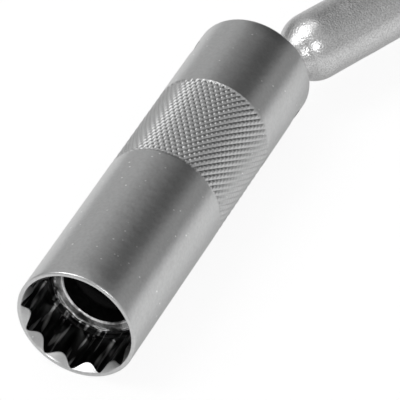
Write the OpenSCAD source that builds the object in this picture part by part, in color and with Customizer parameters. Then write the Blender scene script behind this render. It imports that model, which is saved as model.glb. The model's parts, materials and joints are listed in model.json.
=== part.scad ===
// Long-reach swivel spark plug socket: a twelve-point sleeve with a rubber plug grip,
// pinned to the slotted ball of an extension bar with a square drive end.
// Row frame: origin at the centre of the mouth, +X along the sleeve to its rear, +Z up,
// lying on a level surface that touches the underside of the sleeve.

/* [Sleeve] */
// Outside diameter of the sleeve
socket_od = 18; // [17.6:0.1:22]
// Length of the sleeve from its mouth to its rear end
socket_length = 63; // [56:0.5:90]
// Rounding of the front outer edge
front_edge_r = 0.3; // [0.1:0.05:0.4]
// Rounding of the rear outer edge
rear_edge_r = 0.7; // [0.2:0.05:0.9]

/* [Knurl] */
// Distance of the knurled band from the mouth
knurl_start = 29.3; // [15:0.1:34]
// Length of the knurled band
knurl_length = 18; // [8:0.5:20]
// Pitch of the diamonds round the sleeve
knurl_pitch = 0.94; // [0.9:0.02:1.6]
// Angle of the grooves to the sleeve's axis
knurl_angle = 32; // [30:1:45]
// Depth of the grooves
knurl_depth = 0.3; // [0.15:0.05:0.4]
// Depth of the diamonds' tips below the sleeve's surface
knurl_tip_inset = 0.02; // [0.01:0.01:0.05]

/* [Twelve-point mouth] */
// Width across flats of the plug's hexagon
plug_flats = 14; // [13:0.1:14.3]
// Clearance across the flats
flats_clearance = 0.25; // [0.1:0.05:0.4]
// Diameter of the drilled hole that leaves a land on each crest
crest_d = 14.9; // [14.5:0.05:15.5]
// Depth of the broached points from the rim
points_depth = 7; // [4:0.25:7.5]
// Depth of the drilled mouth from the rim to the shoulder
mouth_depth = 8; // [7.5:0.25:12]
// Width of the flat rim outside the lead-in
rim_width = 0.35; // [0.1:0.05:0.5]
// Turn of the twelve points about the axis
points_roll = 6; // [0:0.5:30]

/* [Bore and grip] */
// Diameter of the bore for the plug's insulator
bore_d = 11.2; // [10:0.1:11.8]
// Chamfer on the shoulder's inner edge
shoulder_chamfer = 0.3; // [0.1:0.05:0.6]
// Length of the shoulder between the mouth and the grip
shoulder_length = 3; // [1.5:0.25:6]
// Length of the rubber grip
grip_length = 10; // [6:0.5:16]
// Depth of the grip's groove below the bore
grip_groove_depth = 1.2; // [0.8:0.1:1.6]
// Inside diameter of the rubber grip
grip_id = 9; // [8.4:0.1:9.4]
// Lead-in at each end of the grip's hole
grip_lead = 0.8; // [0.3:0.1:1.5]
// Clearance of the grip in its groove, all round and at each end
grip_clearance = 0.05; // [0.02:0.01:0.15]

/* [Swivel] */
// Distance of the joint's centre from the rear end of the sleeve
joint_inset = 4.5; // [3.5:0.1:6]
// Diameter of the ball
ball_d = 13; // [12:0.1:13.4]
// Running clearance between the ball and its seat
ball_clearance = 0.25; // [0.1:0.05:0.4]
// Chamfer on the inner edge of the rear end
rear_chamfer = 1; // [0.8:0.05:1.1]
// Diameter of the cross pin
pin_d = 3.5; // [2.5:0.1:4]
// Running clearance all round the pin
pin_clearance = 0.04; // [0.02:0.01:0.08]
// Depth of the pin's ends below the sleeve's surface
pin_recess = 0.1; // [0.05:0.05:0.5]
// Chamfer on the pin's ends
pin_chamfer = 0.25; // [0.1:0.05:0.5]
// Turn of the pin about the sleeve's axis, from level
pin_roll = 26; // [0:1:60]
// Swing to each side about each of the joint's two axes
swivel_limit = 26; // [15:1:26]
// Angle left between the pin and the slot's flared ends at the limit
slot_spare = 1; // [0.5:0.5:2]

/* [Bar] */
// Length of the whole socket when it is straight
overall_length = 250; // [180:5:400]
// Diameter of the bar
bar_d = 10.5; // [9:0.1:12]
// Distance of the centre of the bar's domed end from the joint's centre
dome_reach = 14.3; // [13.5:0.1:18]
// Smallest diameter of the waisted neck
neck_d = 5.8; // [4.5:0.1:6]
// Bend of the joint as it lies, seen from above
rest_bend = 24.5; // [0:0.5:24.5]

/* [Drive end] */
// Diameter of the drive end
head_d = 18; // [15.5:0.1:20]
// Length of the drive end's straight part
head_length = 20; // [16:0.5:40]
// Length of the cone between the bar and the drive end
head_cone_length = 7; // [4:0.5:15]
// Chamfer on the drive end's outer edge
head_chamfer = 1; // [0.3:0.1:1.5]
// Width across flats of the square drive hole
drive_flats = 9.6; // [9.55:0.05:9.8]
// Depth of the square drive hole
drive_depth = 12; // [10:0.5:15]
// Lead-in on the square drive hole
drive_lead = 0.6; // [0.3:0.1:0.8]
// Distance of the catch recesses from the drive end's face
catch_reach = 5.5; // [4.5:0.1:6]
// Diameter of the catch recesses
catch_d = 3.6; // [3:0.1:4]
// Depth of the catch recesses in the flats
catch_depth = 0.8; // [0.4:0.1:1]

/* [Hidden] */
$fn = 96;
// How far a cut runs past the face it opens
cut = 1;
socket_r = socket_od / 2;
bore_r = bore_d / 2;
flats_r = (plug_flats + flats_clearance) / 2;
point_r = flats_r / cos(30);
crest_r = crest_d / 2;
lead_r = socket_r - front_edge_r - rim_width;
knurl_columns = 2 * round(PI * socket_od / knurl_pitch);
knurl_rows = 2 * round(knurl_length * tan(knurl_angle) / knurl_pitch);
groove_x = mouth_depth + shoulder_length;
groove_r = bore_r + grip_groove_depth;
groove_length = grip_length + 2 * grip_clearance;
joint_x = socket_length - joint_inset;
ball_r = ball_d / 2;
seat_r = ball_r + ball_clearance;
// The seat's floor is a 45 degree cone that keeps the ball's clearance
seat_cone_x = joint_x - sqrt(2) * seat_r;
pin_r = pin_d / 2;
pin_hole_r = pin_r + pin_clearance;
pin_half = sqrt(socket_r * socket_r - pin_r * pin_r) - pin_recess;
slot_angle = swivel_limit + slot_spare;
bar_r = bar_d / 2;
neck_r = neck_d / 2;
bar_length = overall_length - joint_x;
head_r = head_d / 2;
head_start = bar_length - head_length;
// Depth of the drilled relief behind the square hole, and of its cone
relief_h = drive_flats / 4;
// The neck is an arc that touches the ball and the dome
waist_slope = (ball_r - bar_r) / dome_reach;
waist_base = (dome_reach * dome_reach + ball_r * ball_r - bar_r * bar_r) / (2 * dome_reach);
waist_a = waist_slope * waist_slope;
waist_b = 2 * waist_base * waist_slope - 2 * (ball_r - neck_r);
waist_c = waist_base * waist_base - ball_r * ball_r + neck_r * neck_r;
waist_disc = sqrt(waist_b * waist_b - 4 * waist_a * waist_c);
waist_r = waist_a < 0.000001 ? -waist_c / waist_b : (-waist_b - waist_disc) / (2 * waist_a);
waist_x = waist_base + waist_slope * waist_r;
// The bar's direction at rest: the drive end and the sleeve lie on the same level surface
rest_rise = asin((head_r - socket_r) / (head_start + head_length / 2));
pin_axis = [0, cos(pin_roll), sin(pin_roll)];
rock_axis = [0, -sin(pin_roll), cos(pin_roll)];
bar_axis = [cos(rest_rise) * cos(rest_bend), -cos(rest_rise) * sin(rest_bend), sin(rest_rise)];
rest_rock = asin(bar_axis * pin_axis);
rest_swing = -asin(bar_axis * rock_axis / cos(rest_rock));
steel = [0.66, 0.66, 0.66];
dark_steel = [0.5, 0.5, 0.51];
black_rubber = [0.05, 0.05, 0.055];

// Turns a shape that is made along +Z to lie along +X
module along_x() {
  rotate([0, 90, 0]) children();
}

// A round bar's profile beside its axis, with a rounding at each end
module sleeve_profile() {
  translate([0, front_edge_r])
    square([socket_r, socket_length - front_edge_r - rear_edge_r]);
  square([socket_r - front_edge_r, socket_length / 2]);
  translate([0, socket_length / 2])
    square([socket_r - rear_edge_r, socket_length / 2]);
  translate([socket_r - front_edge_r, front_edge_r])
    circle(r = front_edge_r);
  translate([socket_r - rear_edge_r, socket_length - rear_edge_r])
    circle(r = rear_edge_r);
}

// A point of the knurl's lattice: tips and groove crossings take turns along and round the band
function knurl_point(row, column) =
  let (
    tip = (row + column) % 2 == 0,
    r = socket_r - knurl_tip_inset - (tip ? 0 : knurl_depth),
    turn = 360 * column / knurl_columns
  )
  [r * cos(turn), r * sin(turn), knurl_start + knurl_length * row / knurl_rows];

// A point of the ring outside the sleeve that closes the knurl's cut, level with its first or last row
function knurl_rim_point(row, column) =
  let (turn = 360 * column / knurl_columns)
  [(socket_r + cut) * cos(turn), (socket_r + cut) * sin(turn), knurl_start + knurl_length * row];

function knurl_index(row, column) = row * knurl_columns + column % knurl_columns;

// Two facets of a lattice cell, split along the groove between its two crossings
function knurl_facets(row, column) =
  let (
    a = knurl_index(row, column),
    b = knurl_index(row, column + 1),
    c = knurl_index(row + 1, column + 1),
    d = knurl_index(row + 1, column)
  )
  (row + column) % 2 == 0 ? [[a, b, d], [c, d, b]] : [[a, b, c], [a, c, d]];

// A closing facet between two rings of points
function knurl_wall(ring, next, column) = [
  knurl_index(ring, column), knurl_index(next, column),
  knurl_index(next, column + 1), knurl_index(ring, column + 1)
];

// What the knurling takes off the sleeve: a ring whose inside is a lattice of diamonds
module knurl_cut() {
  columns = [0 : knurl_columns - 1];
  lattice = [for (row = [0 : knurl_rows]) for (column = columns) knurl_point(row, column)];
  rim = [for (row = [0, 1]) for (column = columns) knurl_rim_point(row, column)];
  flank = [for (row = [0 : knurl_rows - 1]) for (column = columns) each knurl_facets(row, column)];
  front = [for (column = columns) knurl_wall(0, knurl_rows + 1, column)];
  back = [for (column = columns) knurl_wall(knurl_rows + 2, knurl_rows, column)];
  outside = [for (column = columns) knurl_wall(knurl_rows + 1, knurl_rows + 2, column)];
  polyhedron(concat(lattice, rim), concat(flank, front, back, outside));
}

// Two hexagons a twelfth of a turn apart, with the drilled hole that blunts their crests
module twelve_points() {
  for (turn = [0, 30])
    rotate(points_roll + turn) circle(r = point_r, $fn = 6);
  circle(r = crest_r);
}

module mouth_cut() {
  translate([0, 0, -cut])
    linear_extrude(points_depth + cut) twelve_points();
  cylinder(h = mouth_depth, r = crest_r);
  cylinder(h = lead_r - crest_r, r1 = lead_r, r2 = crest_r);
  translate([0, 0, -cut])
    cylinder(h = cut, r = lead_r);
}

module bore_cut() {
  translate([0, 0, mouth_depth - cut])
    cylinder(h = socket_length - mouth_depth, r = bore_r);
  translate([0, 0, mouth_depth])
    cylinder(h = shoulder_chamfer, r1 = bore_r + shoulder_chamfer, r2 = bore_r);
  translate([0, 0, groove_x])
    cylinder(h = groove_length, r = groove_r);
}

module seat_cut() {
  translate([0, 0, seat_cone_x])
    cylinder(h = seat_r, r1 = 0, r2 = seat_r);
  translate([0, 0, seat_cone_x + seat_r])
    cylinder(h = socket_length - seat_cone_x, r = seat_r);
  translate([0, 0, socket_length - rear_chamfer])
    cylinder(h = rear_chamfer + cut, r1 = seat_r, r2 = seat_r + rear_chamfer + cut);
}

module pin_hole() {
  translate([joint_x, 0, 0]) rotate([pin_roll, 0, 0]) rotate([90, 0, 0])
    cylinder(h = socket_od + 2 * cut, r = pin_hole_r, center = true);
}

module socket_body() {
  color(steel)
    difference() {
      along_x()
        difference() {
          rotate_extrude() sleeve_profile();
          mouth_cut();
          bore_cut();
          seat_cut();
        }
      pin_hole();
      along_x() knurl_cut();
    }
}

module plug_grip() {
  color(black_rubber)
    translate([groove_x + grip_clearance, 0, 0]) along_x()
      difference() {
        cylinder(h = grip_length, r = groove_r - grip_clearance);
        translate([0, 0, -cut])
          cylinder(h = grip_length + 2 * cut, d = grip_id);
        cylinder(h = grip_lead, r1 = grip_id / 2 + grip_lead, r2 = grip_id / 2);
        translate([0, 0, grip_length - grip_lead])
          cylinder(h = grip_lead, r1 = grip_id / 2, r2 = grip_id / 2 + grip_lead);
      }
}

// The pin's profile beside its axis, with a chamfer at each end
module pin_profile() {
  polygon([
    [0, -pin_half], [pin_r - pin_chamfer, -pin_half], [pin_r, pin_chamfer - pin_half],
    [pin_r, pin_half - pin_chamfer], [pin_r - pin_chamfer, pin_half], [0, pin_half]
  ]);
}

module swivel_pin() {
  color(dark_steel)
    translate([joint_x, 0, 0]) rotate([pin_roll, 0, 0]) rotate([90, 0, 0])
      rotate_extrude() pin_profile();
}

// The bar's profile beside its axis, from the ball to the drive end
module shank_profile() {
  intersection() {
    translate([0, -ball_r])
      square([head_r + ball_r, ball_r + bar_length]);
    union() {
      circle(r = ball_r);
      difference() {
        polygon([[0, 0], [neck_r + waist_r, waist_x], [0, dome_reach]]);
        translate([neck_r + waist_r, waist_x]) circle(r = waist_r);
      }
      translate([0, dome_reach]) circle(r = bar_r);
      translate([0, dome_reach])
        square([bar_r, bar_length - dome_reach - drive_depth]);
      polygon([
        [0, head_start - head_cone_length],
        [bar_r, head_start - head_cone_length],
        [head_r, head_start],
        [head_r, bar_length - head_chamfer],
        [head_r - head_chamfer, bar_length],
        [0, bar_length]
      ]);
    }
  }
}

// Hourglass slot that lets the pin tilt in the plane of the pin and the bar
module pin_slot() {
  reach = ball_r + cut;
  waist = pin_hole_r / cos(slot_angle);
  flare = waist + reach * tan(slot_angle);
  rotate([pin_roll, 0, 0])
    linear_extrude(2 * pin_hole_r, center = true)
      polygon([
        [waist, 0], [flare, reach], [-flare, reach],
        [-waist, 0], [-flare, -reach], [flare, -reach]
      ]);
}

// Square hole with a lead-in, a drilled relief behind it and a catch recess in each flat
module drive_cut() {
  translate([bar_length, 0, 0]) rotate([0, -90, 0]) {
    translate([0, 0, -cut])
      linear_extrude(drive_depth + cut) square(drive_flats, center = true);
    cylinder(h = drive_lead, r1 = drive_flats / 2 + drive_lead, r2 = drive_flats / 2);
    translate([0, 0, drive_depth - cut])
      cylinder(h = relief_h + cut, d = drive_flats);
    translate([0, 0, drive_depth + relief_h])
      cylinder(h = relief_h, d1 = drive_flats, d2 = 0);
    for (turn = [0 : 90 : 270])
      rotate(turn) translate([drive_flats / 2 - catch_d / 2 + catch_depth, 0, catch_reach])
        sphere(d = catch_d);
  }
}

module shank() {
  color(steel)
    translate([joint_x, 0, 0]) rotate(rest_swing, pin_axis) rotate(rest_rock, rock_axis)
      difference() {
        along_x() rotate_extrude() shank_profile();
        pin_slot();
        drive_cut();
      }
}

socket_body();
plug_grip();
swivel_pin();
shank();
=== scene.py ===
"""Looks of the long-reach swivel spark plug socket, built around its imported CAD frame."""

import json
import math

import bpy
import numpy as np
from mathutils import Matrix, Vector


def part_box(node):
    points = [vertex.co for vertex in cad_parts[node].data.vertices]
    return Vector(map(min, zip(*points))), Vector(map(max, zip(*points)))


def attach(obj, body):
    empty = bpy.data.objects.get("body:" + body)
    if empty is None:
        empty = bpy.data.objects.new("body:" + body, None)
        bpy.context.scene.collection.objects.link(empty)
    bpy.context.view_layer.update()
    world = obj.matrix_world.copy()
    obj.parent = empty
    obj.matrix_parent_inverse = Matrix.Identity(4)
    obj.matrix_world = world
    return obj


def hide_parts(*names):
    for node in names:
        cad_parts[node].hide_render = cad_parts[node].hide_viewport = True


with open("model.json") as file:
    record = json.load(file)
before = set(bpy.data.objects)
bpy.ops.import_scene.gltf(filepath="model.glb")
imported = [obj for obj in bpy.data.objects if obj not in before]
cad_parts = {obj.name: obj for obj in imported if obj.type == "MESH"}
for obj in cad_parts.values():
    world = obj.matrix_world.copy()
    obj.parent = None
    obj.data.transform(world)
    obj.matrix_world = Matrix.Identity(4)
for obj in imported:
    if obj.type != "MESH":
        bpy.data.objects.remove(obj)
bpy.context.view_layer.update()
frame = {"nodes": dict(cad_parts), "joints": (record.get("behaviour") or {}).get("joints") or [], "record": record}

# Sizes are in millimetres, places in the row frame
MM = 0.001
TURN = 2 * math.pi
record = frame["record"]
joints = {joint["name"]: joint for joint in frame["joints"]}
mounts = {mount["name"]: mount for mount in record["mounts"]}


def box_mm(node):
    return tuple(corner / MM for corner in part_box(node))


def reach_mm(node, point, axis):
    """How far a CAD node reaches from a point along an axis."""
    return max((vertex.co / MM - point).dot(axis) for vertex in frame["nodes"][node].data.vertices)


# Sleeve
SLEEVE_LENGTH = box_mm("socket_body")[1].x
SLEEVE_R = -box_mm("socket_body")[0].z
FRONT_EDGE_R = 0.3
REAR_EDGE_R = 0.7
RIM_WIDTH = 0.27
LEAD_R = SLEEVE_R - FRONT_EDGE_R - RIM_WIDTH
LEAD_STEEPNESS = 1.5
EDGE_BREAK = 0.07

# Knurl
KNURL_START = 29.3
KNURL_LENGTH = 18.0
KNURL_DEPTHS = (0.135, 0.19)
KNURL_SLOPE = 0.47
KNURL_TEETH = 60
KNURL_WAVES = 12
KNURL_STEPS = 8
KNURL_FADE = 0.45
KNURL_PITCH = 0.94
KNURL_BLEND = 0.03
KNURL_MARGINS = (0.03, 0.12)
COLUMNS = KNURL_TEETH * KNURL_STEPS

# Mouth and bore
FLATS_R = 7.16
POINTS_ROLL = math.radians(6)
CREST_BLEND = 0.5
TIP_REACH = 1.4
TIP_R = 8.36
TIP_BLEND = 0.3
POINTS_DEPTH = 7.0
CREST_R = 7.45
MOUTH_DEPTH = 8.0
CORNER_R = 0.35
BORE_R = 5.6
SHOULDER_CHAMFER = 0.2
BURR_HEIGHT = 0.35
BURR_WIDTH = 0.3
BURR_WANDER = 0.06
BURR_MARGIN = 0.1
# Section of the burr: share of its width from the middle, and share of its height
BURR_SECTION = ((0.5, 0.15), (0.25, 0.8), (0.0, 1.0), (-0.25, 0.8), (-0.5, 0.15))

# Grip
GRIP_LOW, GRIP_HIGH = box_mm("plug_grip")
GRIP_CLEARANCE = 0.05
GRIP_R = GRIP_HIGH.z
GRIP_HOLE_R = mounts["insulator_grip"]["dims"]["r_mm"]
GRIP_LEAD = 0.8
GRIP_EDGE = 0.15
GRIP_COLUMNS = 120
GROOVE_R = GRIP_R + GRIP_CLEARANCE
GROOVE_START = GRIP_LOW.x - GRIP_CLEARANCE
GROOVE_END = GRIP_HIGH.x + GRIP_CLEARANCE

# Swivel
JOINT = Vector(joints["swing"]["pos_m"]) / MM
PIN_AXIS = Vector(joints["swing"]["axis"]).normalized()
ROCK_AXIS = Vector(joints["rock"]["axis"]).normalized()
PIN_HALF = reach_mm("swivel_pin", JOINT, PIN_AXIS)
PIN_R = 1.75
PIN_CHAMFER = 0.25
PIN_CLEARANCE = 0.04
PIN_HOLE_R = PIN_R + PIN_CLEARANCE
PIN_COLUMNS = 64
BALL_R = 6.5
BALL_CLEARANCE = 0.25
SEAT_R = BALL_R + BALL_CLEARANCE
REAR_CHAMFER = 1.0
SLOT_ANGLE = math.radians(27)

# Bar and drive end
BAR_AXIS = Vector(mounts["drive_square"]["axis"]).normalized()
BAR_LENGTH = (Vector(mounts["drive_square"]["pos_m"]) / MM - JOINT).dot(BAR_AXIS)
BAR_R = 5.25
DOME_REACH = 14.3
NECK_R = 2.9
HEAD_R = reach_mm("shank", JOINT, Vector((0, 0, 1)))
HEAD_LENGTH = 20.0
HEAD_CONE = 7.0
HEAD_START = BAR_LENGTH - HEAD_LENGTH
HEAD_CONE_START = HEAD_START - HEAD_CONE
HEAD_CHAMFER = 1.0
DRIVE_HALF = 4.8
DRIVE_DEPTH = 12.0
DRIVE_LEAD = 0.6
RELIEF_DEPTH = DRIVE_HALF / 2
RELIEF_TIP_R = 0.05
CATCH_REACH = 5.5
CATCH_R = 1.8
CATCH_DEPTH = 0.8
CATCH_COLUMNS = 32
LEAD_COLUMNS = 96
RELIEF_COLUMNS = 64
BAR_COLUMNS = 160
BAR_STEPS = 200
RIPPLE = 0.02
# Waves of the forged skin: share, radians a millimetre along the bar, waves round it, and phase
RIPPLE_WAVES = ((1.0, 0.9, 2, 0.6), (1.0, 0.55, -3, 2.1), (0.7, 1.7, 4, 4.0), (0.7, 1.3, -5, 1.2))
RIPPLE_FADE = 5.0
RIPPLE_START = DOME_REACH - 3.0
RIPPLE_END = HEAD_CONE_START - 1.0
# How far a cutter reaches past what it cuts
OVERCUT = 1.0
FLOOR_Z = -SLEEVE_R


# Materials
def new_material(name, metal=True):
    material = bpy.data.materials.new(name)
    material.use_nodes = True
    tree = material.node_tree
    shader = next(node for node in tree.nodes if node.type == "BSDF_PRINCIPLED")
    if metal:
        shader.inputs["Metallic"].default_value = 1.0
        shader.inputs["Specular Tint"].default_value = (0.9, 0.9, 0.9, 1)
    return material, tree, shader


def grain(tree, scale, detail=3.0, stretch=(1.0, 1.0, 1.0)):
    """Noise over the piece's own coordinates, scale in waves per millimetre."""
    place = tree.nodes.new("ShaderNodeTexCoord")
    mapping = tree.nodes.new("ShaderNodeMapping")
    noise = tree.nodes.new("ShaderNodeTexNoise")
    mapping.inputs["Scale"].default_value = [share / MM for share in stretch]
    noise.inputs["Scale"].default_value = scale
    noise.inputs["Detail"].default_value = detail
    tree.links.new(place.outputs["Object"], mapping.inputs["Vector"])
    tree.links.new(mapping.outputs["Vector"], noise.inputs["Vector"])
    return noise.outputs["Fac"]


def spread(tree, value, low, high, start=0.3, end=0.7):
    """Maps a noise's usual range to the range from low to high."""
    ramp = tree.nodes.new("ShaderNodeMapRange")
    ramp.inputs["From Min"].default_value = start
    ramp.inputs["From Max"].default_value = end
    ramp.inputs["To Min"].default_value = low
    ramp.inputs["To Max"].default_value = high
    tree.links.new(value, ramp.inputs["Value"])
    return ramp.outputs["Result"]


def tones(tree, value, dark, light, start=0.3, end=0.7):
    """A grey that goes from dark to light with a noise."""
    ramp = tree.nodes.new("ShaderNodeValToRGB")
    ramp.color_ramp.elements[0].position = start
    ramp.color_ramp.elements[0].color = (*dark, 1)
    ramp.color_ramp.elements[1].position = end
    ramp.color_ramp.elements[1].color = (*light, 1)
    tree.links.new(value, ramp.inputs["Fac"])
    return ramp.outputs["Color"]


def bump(tree, shader, value, height):
    """Adds a fine relief of a height in millimetres."""
    relief = tree.nodes.new("ShaderNodeBump")
    relief.inputs["Distance"].default_value = height * MM
    tree.links.new(value, relief.inputs["Height"])
    tree.links.new(relief.outputs["Normal"], shader.inputs["Normal"])


def specks(tree, scale):
    """Scattered points as a value that is 0 at a point, scale in points per millimetre."""
    place = tree.nodes.new("ShaderNodeTexCoord")
    cells = tree.nodes.new("ShaderNodeTexVoronoi")
    cells.inputs["Scale"].default_value = scale / MM
    tree.links.new(place.outputs["Object"], cells.inputs["Vector"])
    return cells.outputs["Distance"]


def darkened(tree, colour, shade):
    """A colour multiplied by a second one."""
    mix = tree.nodes.new("ShaderNodeMix")
    mix.data_type = "RGBA"
    mix.blend_type = "MULTIPLY"
    mix.inputs[0].default_value = 1.0
    tree.links.new(colour, mix.inputs[6])
    tree.links.new(shade, mix.inputs[7])
    return mix.outputs[2]


def coat(tree, shader, colour, roughness):
    """Links a colour and a roughness to a shader."""
    tree.links.new(colour, shader.inputs["Base Color"])
    tree.links.new(roughness, shader.inputs["Roughness"])


def grey(tone):
    return (tone, tone, tone)


def satin_chrome():
    material, tree, shader = new_material("satin_chrome")
    cloud = grain(tree, 0.35, detail=4.0)
    dust = tones(tree, specks(tree, 0.6), grey(1.0), (0.583, 0.586, 0.586), 0.05, 0.11)
    mottle = tones(tree, grain(tree, 2.2, detail=2.0), grey(0.89), grey(1.0))
    coat(tree, shader, darkened(tree, dust, mottle), spread(tree, cloud, 0.277, 0.292))
    bump(tree, shader, grain(tree, 0.9, detail=4.0), 0.02)
    return material


def bar_chrome():
    material, tree, shader = new_material("bar_chrome")
    cloud = grain(tree, 0.5, detail=4.0)
    sand = grain(tree, 6.0, detail=0.0)
    coat(tree, shader, tones(tree, sand, grey(0.46), grey(0.7)), spread(tree, cloud, 0.277, 0.31))
    bump(tree, shader, grain(tree, 3.4, detail=1.0), 0.055)
    return material


def dark_broach():
    material, tree, shader = new_material("dark_broach")
    strokes = grain(tree, 1.3, detail=1.0, stretch=(0.12, 1.0, 1.0))
    # Near-black broached walls, with narrow bright strokes that are painted highlight streaks along the points
    shine = tones(tree, strokes, grey(0.025), grey(0.75), 0.56, 0.74)
    coat(tree, shader, shine, spread(tree, strokes, 0.28, 0.42))
    bump(tree, shader, strokes, 0.004)
    return material


def turned_steel():
    material, tree, shader = new_material("turned_shoulder")
    # Patches from dark grey to mirror-bright at random: painted light standing in for the lit burrs and edges of
    # the shoulder
    wear_and_light_noise = grain(tree, 0.4, detail=5.0)
    painted_light_patches = tones(tree, wear_and_light_noise, grey(0.22), grey(1.0), 0.43, 0.58)
    coat(tree, shader, painted_light_patches, spread(tree, wear_and_light_noise, 0.3, 0.45))
    bump(tree, shader, grain(tree, 3.0, detail=4.0), 0.03)
    return material


def black_bore():
    material, tree, shader = new_material("black_bore")
    scale = grain(tree, 2.0, detail=4.0)
    coat(tree, shader, tones(tree, scale, grey(0.02), grey(0.05)), spread(tree, scale, 0.5, 0.65))
    bump(tree, shader, scale, 0.006)
    return material


def pin_steel():
    material, tree, shader = new_material("pin_steel")
    wear_and_light_noise = grain(tree, 3.0, detail=4.0)
    ground = tones(tree, wear_and_light_noise, (0.40, 0.40, 0.41), (0.48, 0.48, 0.49))
    coat(tree, shader, ground, spread(tree, wear_and_light_noise, 0.3, 0.42))
    bump(tree, shader, wear_and_light_noise, 0.003)
    return material


def grip_rubber():
    material, tree, shader = new_material("grip_rubber", metal=False)
    shader.inputs["Specular IOR Level"].default_value = 0.15
    cloud = grain(tree, 1.5, detail=4.0)
    coat(tree, shader, tones(tree, cloud, grey(0.004), grey(0.009)), spread(tree, cloud, 0.6, 0.75))
    bump(tree, shader, grain(tree, 5.0), 0.01)
    return material


# Shapes
def grid_piece(name, points, materials, row_materials=None, closed=False):
    """A mesh of rings of points in millimetres; open ends are closed by a fan."""
    rows, columns = points.shape[:2]
    vertices = points.reshape(-1, 3)
    index = np.arange(rows * columns).reshape(rows, columns)
    last = rows if closed else rows - 1
    below = index[np.arange(last)]
    above = index[(np.arange(last) + 1) % rows]
    a, b = below, above
    c, d = np.roll(above, -1, axis=1), np.roll(below, -1, axis=1)
    # A cell is split along its groove, or along the shorter diagonal
    gap_ac = np.linalg.norm(vertices[a] - vertices[c], axis=-1)
    gap_bd = np.linalg.norm(vertices[b] - vertices[d], axis=-1)
    radius = np.linalg.norm(vertices[:, 1:], axis=1)
    fall = radius[a] + radius[c] - radius[b] - radius[d]
    along_ac = np.where(np.abs(fall) > 1e-4, fall < 0, gap_ac <= gap_bd)[..., None]
    first = np.where(along_ac, np.stack([a, b, c], -1), np.stack([a, b, d], -1))
    second = np.where(along_ac, np.stack([a, c, d], -1), np.stack([b, c, d], -1))
    faces = np.stack([first, second], 2).reshape(-1, 3).tolist()
    if row_materials is None:
        row_materials = [0] * last
    slots = np.repeat(row_materials, 2 * columns).tolist()
    vertices = vertices.tolist()
    if not closed:
        for row, forward in ((0, True), (rows - 1, False)):
            vertices.append(points[row].mean(0).tolist())
            ring = index[row].tolist()
            for here, there in zip(ring, ring[1:] + ring[:1]):
                pair = [here, there] if forward else [there, here]
                faces.append([len(vertices) - 1] + pair)
                slots.append(row_materials[0 if forward else -1])
    mesh = bpy.data.meshes.new(name)
    mesh.from_pydata((np.array(vertices) * MM).tolist(), [], faces)
    mesh.validate()
    piece = bpy.data.objects.new(name, mesh)
    bpy.context.scene.collection.objects.link(piece)
    for material in materials:
        mesh.materials.append(material)
    mesh.polygons.foreach_set("material_index", slots)
    return piece


def smooth(piece, angle):
    """Shades a piece smoothly, with edges sharper than an angle in degrees kept."""
    piece.data.polygons.foreach_set("use_smooth", [True] * len(piece.data.polygons))
    piece.data.set_sharp_from_angle(angle=math.radians(angle))
    piece.data.update()


def solid(name, vertices, faces):
    """A mesh of corners in millimetres and faces."""
    mesh = bpy.data.meshes.new(name)
    mesh.from_pydata([tuple(Vector(vertex) * MM) for vertex in vertices], [], faces)
    piece = bpy.data.objects.new(name, mesh)
    bpy.context.scene.collection.objects.link(piece)
    return piece


def carve(piece, cutters):
    """Takes the cutters away from a piece and removes them."""
    for cutter in cutters:
        cut = piece.modifiers.new(cutter.name, "BOOLEAN")
        cut.operation = "DIFFERENCE"
        cut.solver = "EXACT"
        cut.object = cutter
    graph = bpy.context.evaluated_depsgraph_get()
    carved = bpy.data.meshes.new_from_object(piece.evaluated_get(graph))
    piece.modifiers.clear()
    piece.data = carved
    carved.name = piece.name
    for cutter in cutters:
        bpy.data.objects.remove(cutter)


def axis_frame(axis, side):
    """Matrix whose columns are an axis, a side direction square to it, and their normal."""
    across = (side - axis * side.dot(axis)).normalized()
    return np.array([axis, across, axis.cross(across)]).T


def revolve(profile, columns, centre, axes):
    """Rings of points from (distance along the axis, radius) pairs."""
    profile = np.asarray(profile, float)
    angle = np.arange(columns) * TURN / columns
    local = np.stack(
        np.broadcast_arrays(
            profile[:, :1], profile[:, 1:] * np.cos(angle), profile[:, 1:] * np.sin(angle)
        ),
        -1,
    )
    return np.asarray(centre) + local @ axes.T


def arc(centre_x, centre_r, radius, start, end, steps):
    """Points of an arc beside an axis, angles in degrees from the axis."""
    angle = np.radians(np.linspace(start, end, steps + 1))
    return np.stack([centre_x + radius * np.cos(angle), centre_r + radius * np.sin(angle)], -1)


# Sleeve: rings run forward outside, round the rim, and back through the mouth and the bore
ANGLE = np.arange(COLUMNS) * TURN / COLUMNS


def soft_max(a, b, blend):
    """The larger of two values, rounded over where they are nearer than blend."""
    nearness = np.maximum(blend - np.abs(a - b), 0) / blend
    return np.maximum(a, b) + nearness * nearness * blend / 4


def star_radius():
    """Radius of the twelve-point hole, its crests rounded over and its points softened."""
    sixth = math.radians(60)
    hexagons = [
        FLATS_R / np.cos((ANGLE - POINTS_ROLL - turn) % sixth - sixth / 2)
        for turn in (0, sixth / 2)
    ]
    rounded = soft_max(*hexagons, CREST_BLEND)
    crest = rounded.min()
    return -soft_max(-crest - (rounded - crest) * TIP_REACH, np.full(COLUMNS, -TIP_R), TIP_BLEND)


def uneven(angle):
    """A slow wave round the axis that doesn't repeat within the turn."""
    slow = 0.5 * np.sin(3 * angle + 0.4) * np.sin(5 * angle + 1.9)
    quick = 0.45 * np.sin(11 * angle + 0.8)
    return 0.35 + slow + quick


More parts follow.
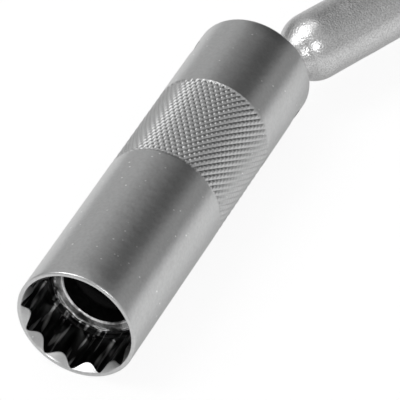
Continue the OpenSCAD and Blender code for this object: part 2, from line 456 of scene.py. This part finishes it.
def knurl_rings():
    """Crossing grooves of a diamond knurl, faded at both ends of the band."""
    steps = KNURL_WAVES * KNURL_STEPS
    rings = []
    for step in range(steps, -1, -1):
        x = KNURL_LENGTH * step / steps
        wave = KNURL_WAVES * step / steps
        tooth = KNURL_TEETH * ANGLE / TURN
        left = np.abs(tooth + wave - np.round(tooth + wave))
        right = np.abs(tooth - wave - np.round(tooth - wave))
        grooves = [
            depth - KNURL_SLOPE * KNURL_PITCH * gap
            for depth, gap in zip(KNURL_DEPTHS, (left, right))
        ]
        cut = soft_max(soft_max(*grooves, KNURL_BLEND), np.zeros(COLUMNS), KNURL_BLEND)
        fade = min(min(x, KNURL_LENGTH - x) / KNURL_FADE, 1.0)
        depth = cut * fade * fade * (3 - 2 * fade)
        rings.append((np.full(COLUMNS, KNURL_START + x), SLEEVE_R - depth))
    return rings


CHROME, BROACH, SHOULDER, BORE = range(4)


def sleeve_points():
    """Rings of the sleeve's section, and the finish of each."""
    rings, kinds = [], []

    def add(x, r, kind=CHROME):
        rings.append((np.broadcast_to(x, COLUMNS), np.broadcast_to(r, COLUMNS)))
        kinds.append(kind)

    rear = arc(SLEEVE_LENGTH - REAR_EDGE_R, SLEEVE_R - REAR_EDGE_R, REAR_EDGE_R, 0, 90, 8)
    for x, r in rear:
        add(x, r)
    knurl_end = KNURL_START + KNURL_LENGTH
    for x in np.linspace(SLEEVE_LENGTH - REAR_EDGE_R, knurl_end, 9)[1:-1]:
        add(x, SLEEVE_R)
    for margin in reversed(KNURL_MARGINS):
        add(knurl_end + margin, SLEEVE_R)
    for x, r in knurl_rings():
        add(x, r)
    for margin in KNURL_MARGINS:
        add(KNURL_START - margin, SLEEVE_R)
    for x in np.linspace(KNURL_START, FRONT_EDGE_R, 13)[1:-1]:
        add(x, SLEEVE_R)
    for x, r in arc(FRONT_EDGE_R, SLEEVE_R - FRONT_EDGE_R, FRONT_EDGE_R, 90, 180, 8):
        add(x, r)
    star = star_radius()
    depth = (LEAD_R - star) * LEAD_STEEPNESS
    ease = np.minimum(EDGE_BREAK, depth / 3)
    add(0, LEAD_R + EDGE_BREAK)
    add(ease * 0.2, LEAD_R + EDGE_BREAK * 0.3)
    for share in np.linspace(0, 1, 6):
        x = ease + (depth - 2 * ease) * share
        add(x, LEAD_R - x / LEAD_STEEPNESS)
    # Broken edge between the lead-in and the broached wall
    for share in (0.33, 0.67):
        rest = 1 - share
        x = rest**2 * (depth - ease) + 2 * share * rest * depth + share**2 * (depth + ease)
        r = rest**2 * (star + ease / LEAD_STEEPNESS) + (1 - rest**2) * star
        add(x, r)
    for share in np.linspace(0, 1, 7):
        x = (depth + ease) * (1 - share) + POINTS_DEPTH * share
        add(x, star, BROACH)
    # Ends of the points, then the drilled hole down to the shoulder
    hole = np.minimum(star, CREST_R)
    for share in (0.15, 0.5, 0.85, 1):
        add(POINTS_DEPTH + EDGE_BREAK * share, star * (1 - share) + hole * share, BROACH)
    add(POINTS_DEPTH + 2 * EDGE_BREAK, hole, BROACH)
    for x, r in arc(MOUTH_DEPTH - CORNER_R, CREST_R - CORNER_R, CORNER_R, 90, 0, 5):
        add(x, np.minimum(r, hole), BROACH)
    # Uneven burr left by the drill round the shoulder
    burr = BURR_HEIGHT * np.clip(uneven(ANGLE), 0, 1)
    burr_r = CREST_R - CORNER_R - BURR_WIDTH / 2 + BURR_WANDER * uneven(ANGLE + 2.5)
    for across, rise in BURR_SECTION:
        add(MOUTH_DEPTH - burr * rise, burr_r + BURR_WIDTH * across, SHOULDER)
    chamfer_r = BORE_R + SHOULDER_CHAMFER
    shoulder_r = CREST_R - CORNER_R - BURR_WIDTH - BURR_MARGIN
    for r in np.linspace(shoulder_r, chamfer_r + EDGE_BREAK / 2, 6):
        add(MOUTH_DEPTH, r, SHOULDER)
    for share in (0, 0.5, 1):
        add(
            MOUTH_DEPTH + EDGE_BREAK / 3 + (SHOULDER_CHAMFER - EDGE_BREAK / 3) * share,
            chamfer_r - EDGE_BREAK / 3 + (BORE_R - chamfer_r + EDGE_BREAK / 3) * share,
            SHOULDER,
        )
    for x, r in (
        (MOUTH_DEPTH + SHOULDER_CHAMFER + EDGE_BREAK, BORE_R),
        (GROOVE_START, BORE_R),
        (GROOVE_START, GROOVE_R),
        (GROOVE_END, GROOVE_R),
        (GROOVE_END, BORE_R),
    ):
        add(x, r, BORE)
    cone = JOINT.x - math.sqrt(2) * SEAT_R
    for x, r in (
        (cone + BORE_R, BORE_R),
        (cone + SEAT_R, SEAT_R),
        (SLEEVE_LENGTH - REAR_CHAMFER, SEAT_R),
    ):
        add(x, r, BORE)
    add(SLEEVE_LENGTH, SEAT_R + REAR_CHAMFER)
    x, r = (np.array(part) for part in zip(*rings))
    return np.stack([x, r * np.cos(ANGLE), r * np.sin(ANGLE)], -1), kinds


def rod(name, centre, axis, radius, half):
    """A plain cylinder along an axis, for a round cut."""
    axes = axis_frame(axis, Vector((1, 0, 0)))
    rings = revolve([(-half, radius), (half, radius)], PIN_COLUMNS, centre, axes)
    return grid_piece(name, rings[::-1], [])


chrome, bar_finish = satin_chrome(), bar_chrome()
points, kinds = sleeve_points()
sleeve_finishes = [chrome, dark_broach(), turned_steel(), black_bore()]
sleeve = grid_piece("sleeve", points, sleeve_finishes, kinds, closed=True)
carve(sleeve, [rod("pin_hole", JOINT, PIN_AXIS, PIN_HOLE_R, SLEEVE_R + OVERCUT)])
smooth(sleeve, 42)

# Grip
LEAD_TOP = GRIP_HOLE_R + GRIP_LEAD
grip_points = revolve(
    [
        (GRIP_LOW.x, GRIP_R - GRIP_EDGE),
        (GRIP_LOW.x, LEAD_TOP + GRIP_EDGE),
        (GRIP_LOW.x + GRIP_EDGE / 2, LEAD_TOP - GRIP_EDGE / 2),
        (GRIP_LOW.x + GRIP_LEAD - GRIP_EDGE, GRIP_HOLE_R + GRIP_EDGE),
        (GRIP_LOW.x + GRIP_LEAD + GRIP_EDGE, GRIP_HOLE_R),
        (GRIP_HIGH.x - GRIP_LEAD - GRIP_EDGE, GRIP_HOLE_R),
        (GRIP_HIGH.x - GRIP_LEAD + GRIP_EDGE, GRIP_HOLE_R + GRIP_EDGE),
        (GRIP_HIGH.x - GRIP_EDGE / 2, LEAD_TOP - GRIP_EDGE / 2),
        (GRIP_HIGH.x, LEAD_TOP + GRIP_EDGE),
        (GRIP_HIGH.x, GRIP_R - GRIP_EDGE),
        (GRIP_HIGH.x - GRIP_EDGE, GRIP_R),
        (GRIP_LOW.x + GRIP_EDGE, GRIP_R),
    ],
    GRIP_COLUMNS,
    (0, 0, 0),
    np.eye(3),
)
grip = grid_piece("grip", grip_points, [grip_rubber()], closed=True)
smooth(grip, 50)

# Pin
pin_profile = [
    (-PIN_HALF, PIN_R - PIN_CHAMFER),
    (-PIN_HALF + PIN_CHAMFER, PIN_R),
    (PIN_HALF - PIN_CHAMFER, PIN_R),
    (PIN_HALF, PIN_R - PIN_CHAMFER),
]
pin_points = revolve(pin_profile, PIN_COLUMNS, JOINT, axis_frame(PIN_AXIS, Vector((1, 0, 0))))
pin = grid_piece("pin", pin_points[::-1], [pin_steel()])
smooth(pin, 30)


# Bar: ball, waisted neck, dome, rod, cone and drive end
def bar_profile():
    """Section of the bar, with a waist that touches the ball and the dome."""
    slope = (BALL_R - BAR_R) / DOME_REACH
    base = (DOME_REACH**2 + BALL_R**2 - BAR_R**2) / (2 * DOME_REACH)
    a, b = slope**2, 2 * base * slope - 2 * (BALL_R - NECK_R)
    c = base**2 - BALL_R**2 + NECK_R**2
    waist_r = (-b - math.sqrt(b * b - 4 * a * c)) / (2 * a)
    waist_x, waist_y = base + slope * waist_r, NECK_R + waist_r
    ball_turn = math.degrees(math.atan2(waist_y, waist_x))
    dome_turn = math.degrees(math.atan2(waist_y, waist_x - DOME_REACH))
    parts = [
        arc(0, 0, BALL_R, 176, ball_turn, 40),
        arc(waist_x, waist_y, waist_r, ball_turn - 180, dome_turn - 180, 24)[1:],
        arc(DOME_REACH, 0, BAR_R, dome_turn, 90, 20)[1:],
        [(x, BAR_R) for x in np.linspace(DOME_REACH, HEAD_CONE_START, BAR_STEPS)[1:]],
        [
            (HEAD_START, HEAD_R),
            (BAR_LENGTH - HEAD_CHAMFER, HEAD_R),
            (BAR_LENGTH, HEAD_R - HEAD_CHAMFER),
        ],
    ]
    return np.concatenate([np.asarray(part, float) for part in parts])


def ripple(x, angle):
    """Slow hollows of the forged skin, none near the ball and the drive end."""
    waves = sum(
        share * np.sin(along * x + around * angle + phase)
        for share, along, around, phase in RIPPLE_WAVES
    ) / sum(share for share, *_ in RIPPLE_WAVES)
    start = np.clip((x - RIPPLE_START) / RIPPLE_FADE, 0, 1)
    end = np.clip((RIPPLE_END - x) / RIPPLE_FADE, 0, 1)
    fade = start * end
    return RIPPLE * (waves * fade - 1) * fade


BAR_AXES = axis_frame(BAR_AXIS, Vector((0, 0, 1)))
profile = bar_profile()
bar_angle = np.arange(BAR_COLUMNS) * TURN / BAR_COLUMNS
bar_x = profile[:, :1]
bar_r = profile[:, 1:] + ripple(bar_x, bar_angle)
local = np.stack(
    np.broadcast_arrays(bar_x, bar_r * np.cos(bar_angle), bar_r * np.sin(bar_angle)), -1
)
bar = grid_piece("bar", (np.asarray(JOINT) + local @ BAR_AXES.T)[::-1], [bar_finish])


def bar_solid(name, points, faces, axes):
    """A cutter given in the bar's own directions."""
    return solid(name, [JOINT + Vector(axes @ np.array(point)) for point in points], faces)


def prism(name, outline, low, high, axes):
    """A cutter with an outline in the first two directions, from low to high in the third."""
    count = len(outline)
    points = [(u, v, level) for level in (low, high) for u, v in outline]
    faces = [tuple(range(count - 1, -1, -1)), tuple(range(count, 2 * count))]
    faces += [(i, (i + 1) % count, count + (i + 1) % count, count + i) for i in range(count)]
    return bar_solid(name, points, faces, axes)


def square_cut():
    """The square hole of the drive end."""
    square = [(DRIVE_HALF * u, DRIVE_HALF * v) for u, v in ((1, 1), (-1, 1), (-1, -1), (1, -1))]
    axes = np.stack([BAR_AXES[:, 1], BAR_AXES[:, 2], BAR_AXES[:, 0]], -1)
    return prism("drive_square", square, BAR_LENGTH - DRIVE_DEPTH, BAR_LENGTH + OVERCUT, axes)


def round_cut(name, profile, columns):
    """A turned cutter round the bar's axis."""
    return grid_piece(name, revolve(profile, columns, JOINT, BAR_AXES)[::-1], [])


def catch_cut(number):
    """A ball-shaped recess in one flat of the square hole."""
    side = BAR_AXES[:, 1 + number % 2] * (1 if number < 2 else -1)
    centre = np.asarray(JOINT) + BAR_AXES[:, 0] * (BAR_LENGTH - CATCH_REACH)
    centre = centre + side * (DRIVE_HALF - CATCH_R + CATCH_DEPTH)
    ball = arc(0, 0, CATCH_R, 174, 6, 16)
    return grid_piece(f"catch_{number}", revolve(ball, CATCH_COLUMNS, centre, BAR_AXES)[::-1], [])


slot_half = PIN_HOLE_R / math.cos(SLOT_ANGLE)
slot_reach = BALL_R + OVERCUT
slot_flare = slot_half + slot_reach * math.tan(SLOT_ANGLE)
bar_side = ROCK_AXIS.cross(BAR_AXIS).normalized()
slot_axes = np.array([BAR_AXIS, bar_side, BAR_AXIS.cross(bar_side)]).T
slot_outline = [
    (slot_half, 0), (slot_flare, slot_reach), (-slot_flare, slot_reach),
    (-slot_half, 0), (-slot_flare, -slot_reach), (slot_flare, -slot_reach),
]
relief = BAR_LENGTH - DRIVE_DEPTH
cutters = [
    prism("pin_slot", slot_outline, -PIN_HOLE_R, PIN_HOLE_R, slot_axes),
    square_cut(),
    round_cut(
        "drive_lead",
        [
            (BAR_LENGTH - DRIVE_LEAD, DRIVE_HALF),
            (BAR_LENGTH + OVERCUT, DRIVE_HALF + DRIVE_LEAD + OVERCUT),
        ],
        LEAD_COLUMNS,
    ),
    round_cut(
        "drive_relief",
        [
            (relief - 2 * RELIEF_DEPTH, RELIEF_TIP_R),
            (relief - RELIEF_DEPTH, DRIVE_HALF),
            (relief + OVERCUT, DRIVE_HALF),
        ],
        RELIEF_COLUMNS,
    ),
    *[catch_cut(number) for number in range(4)],
]
carve(bar, cutters)
smooth(bar, 30)

for piece, body, node, finish in (
    (sleeve, "socket", "socket_body", "satin_chrome"),
    (grip, "socket", "plug_grip", "grip_rubber"),
    (pin, "pin", "swivel_pin", "pin_steel"),
    (bar, "shank", "shank", "bar_chrome"),
):
    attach(piece, body)
    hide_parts(node)


LIT_POINT = Vector((45, -5, 0)) * MM

# Floor: clear to the camera before a white room, so that a bar that swings below it is still seen,
# with a matt share that keeps the shadow; in the metal a pale floor with a painted pool of light, its tone
# darkened with distance
FLOOR_TONE, FLOOR_FAR_TONE = 0.8, 0.45
FLOOR_FALL = (0.04, 0.35)
FLOOR_GLOW = 0.22
SEEN_TONE, SEEN_CLEAR = 0.12, 0.9


def floor_material():
    material = bpy.data.materials.new("pale_floor")
    material.use_nodes = True
    tree = material.node_tree
    tree.nodes.clear()
    output = tree.nodes.new("ShaderNodeOutputMaterial")
    matt = tree.nodes.new("ShaderNodeBsdfDiffuse")
    glow = tree.nodes.new("ShaderNodeEmission")
    clear = tree.nodes.new("ShaderNodeBsdfTransparent")
    path = tree.nodes.new("ShaderNodeLightPath")
    place = tree.nodes.new("ShaderNodeNewGeometry")
    reach = tree.nodes.new("ShaderNodeVectorMath")
    reach.operation = "DISTANCE"
    reach.inputs[1].default_value = LIT_POINT
    tree.links.new(place.outputs["Position"], reach.inputs[0])

    def level(value, start, end, low=0.0, high=1.0):
        node = tree.nodes.new("ShaderNodeMapRange")
        ends = {"From Min": low, "From Max": high, "To Min": start, "To Max": end}
        for socket, number in ends.items():
            node.inputs[socket].default_value = number
        tree.links.new(value, node.inputs["Value"])
        return node

    seen = path.outputs["Is Camera Ray"]
    # Painted falloff of light: the floor's matt tone in the metal darkens with distance from the lit point
    fall = level(reach.outputs["Value"], FLOOR_TONE, FLOOR_FAR_TONE, *FLOOR_FALL)
    tone = level(seen, FLOOR_TONE, SEEN_TONE)
    tree.links.new(fall.outputs["Result"], tone.inputs["To Min"])
    tree.links.new(tone.outputs["Result"], matt.inputs["Color"])
    mirrored = tree.nodes.new("ShaderNodeMath")
    mirrored.operation = "MAXIMUM"
    tree.links.new(path.outputs["Is Glossy Ray"], mirrored.inputs[0])
    tree.links.new(path.outputs["Is Transmission Ray"], mirrored.inputs[1])
    shine = level(mirrored.outputs[0], 0.0, FLOOR_GLOW)
    tree.links.new(shine.outputs["Result"], glow.inputs["Strength"])
    tree.links.new(level(seen, 0.0, SEEN_CLEAR).outputs["Result"], clear.inputs["Color"])
    surface = matt.outputs[0]
    for part in (glow, clear):
        both = tree.nodes.new("ShaderNodeAddShader")
        tree.links.new(surface, both.inputs[0])
        tree.links.new(part.outputs[0], both.inputs[1])
        surface = both.outputs[0]
    tree.links.new(surface, output.inputs["Surface"])
    return material


FLOOR_HALF = 14000.0
floor = solid(
    "floor",
    [(-FLOOR_HALF, -FLOOR_HALF, FLOOR_Z), (FLOOR_HALF, -FLOOR_HALF, FLOOR_Z),
     (FLOOR_HALF, FLOOR_HALF, FLOOR_Z), (-FLOOR_HALF, FLOOR_HALF, FLOOR_Z)],
    [(0, 1, 2, 3)],
)
floor.data.materials.append(floor_material())


# Light: a grey room with darker and lighter parts, and two soft lamps
def direction(azimuth, elevation):
    """Unit vector from two angles in degrees."""
    a, e = math.radians(azimuth), math.radians(elevation)
    return Vector((math.cos(a) * math.cos(e), math.sin(a) * math.cos(e), math.sin(e)))


ROOM_TONE = 0.57
ROOM_DARKEST = 0.03
# Parts of the room: azimuth, elevation and spread in degrees, and change of tone
ROOM_PARTS = (
    (-18.5, 30, 17.5, -0.95),
    (11, 32, 13.5, -0.6),
    (-44, 5, 8, -0.35),
    (71, 8, 12, -0.57),
    (-78, 33, 9, 0.45),
    (38, 66, 10, 2.0),
    (-64, 30, 12, -0.35),
)


def room_light():
    """A world whose tone changes softly round the directions of its parts."""
    world = bpy.data.worlds.new("room")
    bpy.context.scene.world = world
    world.use_nodes = True
    tree = world.node_tree
    shade = next(node for node in tree.nodes if node.type == "BACKGROUND")
    shade.inputs["Color"].default_value = (1, 1, 1, 1)
    place = tree.nodes.new("ShaderNodeTexCoord")

    def step(operation, value, second):
        node = tree.nodes.new("ShaderNodeMath")
        node.operation = operation
        tree.links.new(value, node.inputs[0])
        if isinstance(second, float):
            node.inputs[1].default_value = second
        else:
            tree.links.new(second, node.inputs[1])
        return node.outputs[0]

    tone = None
    for azimuth, elevation, angle, change in ROOM_PARTS:
        dot = tree.nodes.new("ShaderNodeVectorMath")
        dot.operation = "DOT_PRODUCT"
        dot.inputs[1].default_value = direction(azimuth, elevation)
        tree.links.new(place.outputs["Generated"], dot.inputs[0])
        width = 1 - math.cos(math.radians(angle))
        nearness = step("DIVIDE", step("SUBTRACT", dot.outputs["Value"], 1.0), width)
        peak = tree.nodes.new("ShaderNodeMath")
        peak.operation = "EXPONENT"
        tree.links.new(nearness, peak.inputs[0])
        part = step("MULTIPLY", peak.outputs[0], change)
        tone = part if tone is None else step("ADD", tone, part)
    tone = step("MAXIMUM", step("ADD", tone, ROOM_TONE), ROOM_DARKEST)
    # The camera itself sees a white room
    seen = tree.nodes.new("ShaderNodeLightPath").outputs["Is Camera Ray"]
    tree.links.new(step("MAXIMUM", tone, seen), shade.inputs["Strength"])


def lamp(name, towards, along, length, width, radiance, distance=1.0):
    """A soft oval lamp that fills a length and a width in degrees."""
    data = bpy.data.lights.new(name, "AREA")
    data.shape = "ELLIPSE"
    data.size, data.size_y = (
        2 * distance * math.tan(math.radians(angle / 2)) for angle in (length, width)
    )
    data.energy = radiance * math.pi * math.pi / 4 * data.size * data.size_y
    light = bpy.data.objects.new(name, data)
    bpy.context.scene.collection.objects.link(light)
    light.location = LIT_POINT + towards * distance
    across = towards.cross(along).normalized()
    light.rotation_mode = "QUATERNION"
    axes = Matrix([across.cross(towards), across, towards])
    light.rotation_quaternion = axes.transposed().to_quaternion()


room_light()
lamp("lamp_left", direction(110, 58), direction(60, 75) - direction(113, 28), 36, 36, 3.4)
lamp("lamp_right", direction(-149, 36), Vector((0, 0, 1)), 18, 18, 6.0)

# Camera
FOCAL_PIXELS = 4686.0
FRAME_PIXELS = 400
SENSOR = 36.0
CAMERA_PLACE = Vector((-440.193, -210.713, 423.593))
CAMERA_LOOK = Vector((0.70788, 0.30875, -0.63529))
camera_data = bpy.data.cameras.new("camera")
camera_data.sensor_width = SENSOR
camera_data.lens = FOCAL_PIXELS / FRAME_PIXELS * SENSOR
camera_data.clip_start, camera_data.clip_end = 0.05, 100
camera = bpy.data.objects.new("camera", camera_data)
bpy.context.scene.collection.objects.link(camera)
camera.location = CAMERA_PLACE * MM
camera.rotation_mode = "QUATERNION"
camera.rotation_quaternion = CAMERA_LOOK.to_track_quat("-Z", "Y")
bpy.context.scene.camera = camera

bpy.context.scene.view_settings.view_transform = "Standard"
